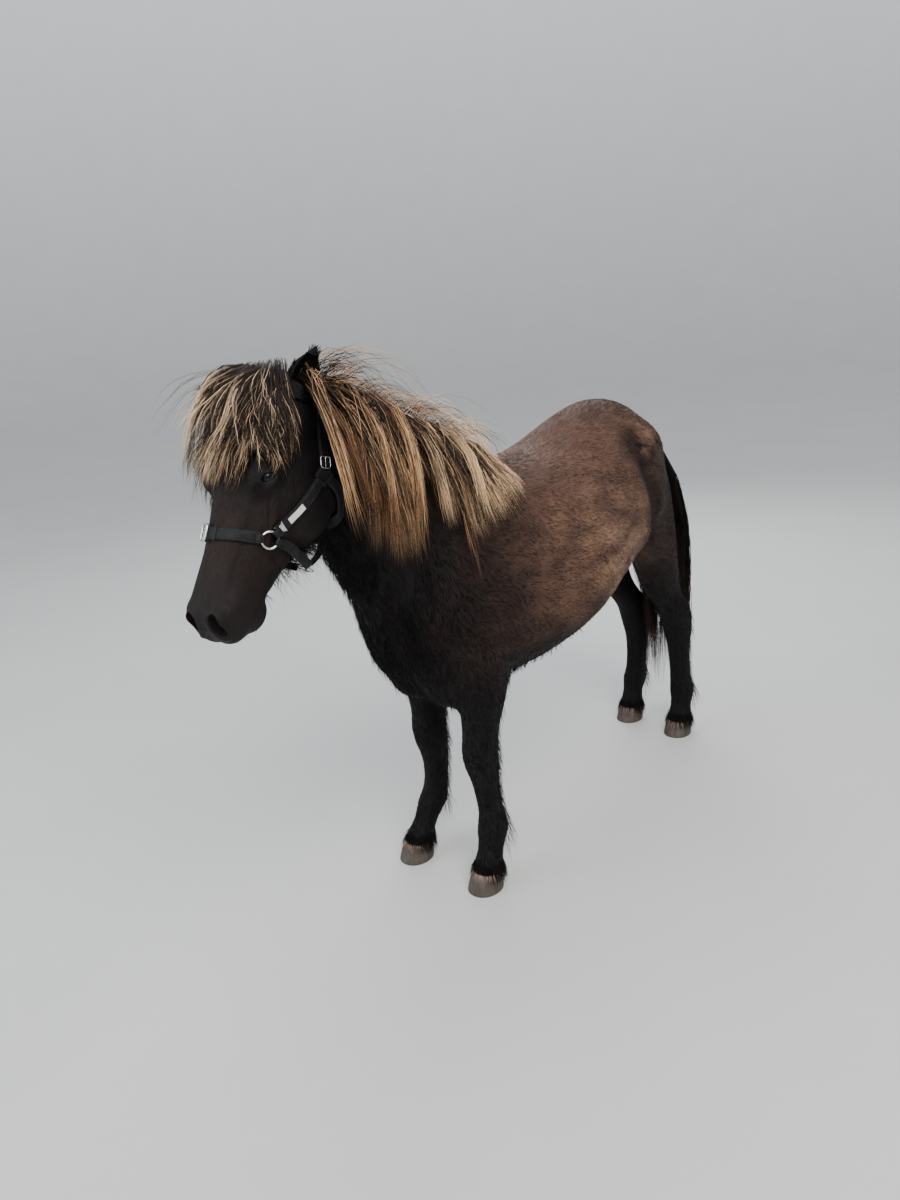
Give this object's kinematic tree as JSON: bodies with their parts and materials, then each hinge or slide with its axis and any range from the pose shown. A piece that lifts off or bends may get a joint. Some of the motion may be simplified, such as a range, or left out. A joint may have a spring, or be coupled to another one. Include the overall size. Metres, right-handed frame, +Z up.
{
  "type": "shetland pony",
  "caption": "Life-size Shetland pony standing square with its head low, thick mane and forelock, long tail, in a webbing head collar.",
  "frame": {"origin": "on the floor, under the middle of the box round the whole pony", "axes": "+X towards the muzzle, +Y towards the pony's left, +Z up"},
  "size_m": [1.5992, 0.4612, 1.2017],
  "materials": {
    "coat": "short damp coat",
    "dark_coat": "short damp coat",
    "hair": "long coarse hair",
    "tail_hair": "long coarse hair",
    "horn": "dull hoof horn",
    "eye": "wet gloss",
    "web": "woven webbing",
    "steel": "bright plated steel",
    "pale": "plain matt patch"
  },
  "bodies": {
    "root": {"torso": "coat", "neck": "dark_coat", "head": "dark_coat", "ear_left": "dark_coat", "ear_right": "dark_coat", "leg_fore_left": "dark_coat", "leg_fore_right": "dark_coat", "leg_hind_left": "dark_coat", "leg_hind_right": "dark_coat", "hoof_fore_left": "horn", "hoof_fore_right": "horn", "hoof_hind_left": "horn", "hoof_hind_right": "horn", "eye_left": "eye", "eye_right": "eye", "mane": "hair", "forelock": "hair", "tail": "tail_hair", "feather_fore_left": "tail_hair", "feather_fore_right": "tail_hair", "feather_hind_left": "tail_hair", "feather_hind_right": "tail_hair", "halter_noseband": "web", "halter_cheek_left": "web", "halter_cheek_right": "web", "halter_slide_left": "web", "halter_slide_right": "web", "halter_crown": "web", "halter_throat": "web", "halter_chin_left": "web", "halter_chin_right": "web", "halter_jaw": "web", "halter_patch": "pale", "halter_buckle": "steel", "halter_keeper": "steel", "halter_ring_left": "steel", "halter_ring_right": "steel", "halter_ring_chin": "steel"}
  },
  "joints": []
}
